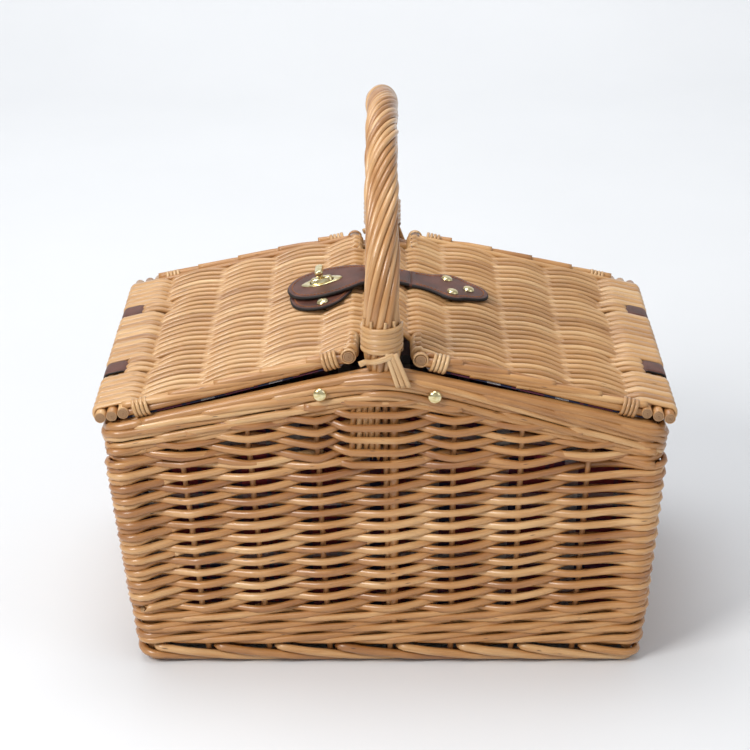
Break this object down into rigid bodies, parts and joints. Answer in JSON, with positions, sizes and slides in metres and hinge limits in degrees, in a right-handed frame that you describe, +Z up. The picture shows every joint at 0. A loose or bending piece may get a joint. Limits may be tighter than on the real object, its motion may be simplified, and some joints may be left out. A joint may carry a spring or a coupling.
{
  "type": "wicker picnic basket",
  "caption": "Gable-topped willow picnic basket with a fixed arched handle, lids hinged at their outer edges on leather loops, and a leather closure strap with a brass turn lock.",
  "frame": {"origin": "middle of the footprint, on the surface that the basket stands on", "axes": "+X towards the right lid's hinge, +Y towards the back gable, +Z up"},
  "size_m": [0.468, 0.3242, 0.454],
  "materials": {
    "willow_weave": "varnished woven willow rods",
    "willow_rods": "varnished round willow rods",
    "willow_skein": "varnished split willow skein",
    "leather": "smooth brown leather, stitched",
    "brass": "polished pale brass",
    "tartan": "checked cotton"
  },
  "bodies": {
    "basket": {"back_corner_posts": "willow_rods", "back_handle_binding": "willow_skein", "back_handle_core": "willow_rods", "back_handle_liners": "willow_rods", "back_rim_left": "willow_weave", "back_rim_right": "willow_weave", "back_rim_studs": "brass", "back_stakes": "willow_rods", "back_weave": "willow_weave", "base_panel": "willow_weave", "basket_lining": "tartan", "foot_border": "willow_weave", "front_corner_posts": "willow_rods", "front_handle_binding": "willow_skein", "front_handle_core": "willow_rods", "front_handle_liners": "willow_rods", "front_rim_left": "willow_weave", "front_rim_right": "willow_weave", "front_rim_studs": "brass", "front_stakes": "willow_rods", "front_weave": "willow_weave", "handle_bow": "willow_weave", "left_hinge_rim_loops": "leather", "left_rim": "willow_weave", "left_stakes": "willow_rods", "left_weave": "willow_weave", "lower_wale": "willow_weave", "right_hinge_rim_loops": "leather", "right_rim": "willow_weave", "right_stakes": "willow_rods", "right_weave": "willow_weave"},
    "left_lid": {"left_hinge_lid_loops": "leather", "left_lid_bindings": "willow_skein", "left_lid_borders": "willow_weave", "left_lid_inner_sticks": "willow_rods", "left_lid_lining": "tartan", "left_lid_outer_sticks": "willow_rods", "left_lid_weave": "willow_weave", "lock_base": "brass", "lock_tab": "leather", "lock_tab_rivet": "brass"},
    "right_lid": {"right_hinge_lid_loops": "leather", "right_lid_bindings": "willow_skein", "right_lid_borders": "willow_weave", "right_lid_inner_sticks": "willow_rods", "right_lid_lining": "tartan", "right_lid_outer_sticks": "willow_rods", "right_lid_weave": "willow_weave", "strap_rivets": "brass", "strap_root": "leather"},
    "closure_strap": {"strap_flap": "leather", "eyelet_plate": "brass"},
    "turn_knob": {"turn_knob": "brass"}
  },
  "joints": [
    {"name": "left_lid_hinge", "type": "hinge", "parent": "basket", "child": "left_lid", "pos_m": [-0.231, 0, 0.22088], "axis": [0, -1, 0], "range_deg": [0, 120]},
    {"name": "right_lid_hinge", "type": "hinge", "parent": "basket", "child": "right_lid", "pos_m": [0.231, 0, 0.22088], "axis": [0, 1, 0], "range_deg": [0, 120]},
    {"name": "strap_lift", "type": "hinge", "parent": "right_lid", "child": "closure_strap", "pos_m": [0.022, 0.012, 0.28951], "axis": [0, 1, 0], "range_deg": [0, 150]},
    {"name": "knob_turn", "type": "hinge", "parent": "left_lid", "child": "turn_knob", "pos_m": [-0.05265, 0.012, 0.27844], "axis": [-0.2456, 0, 0.9694], "range_deg": [0, 90]}
  ]
}
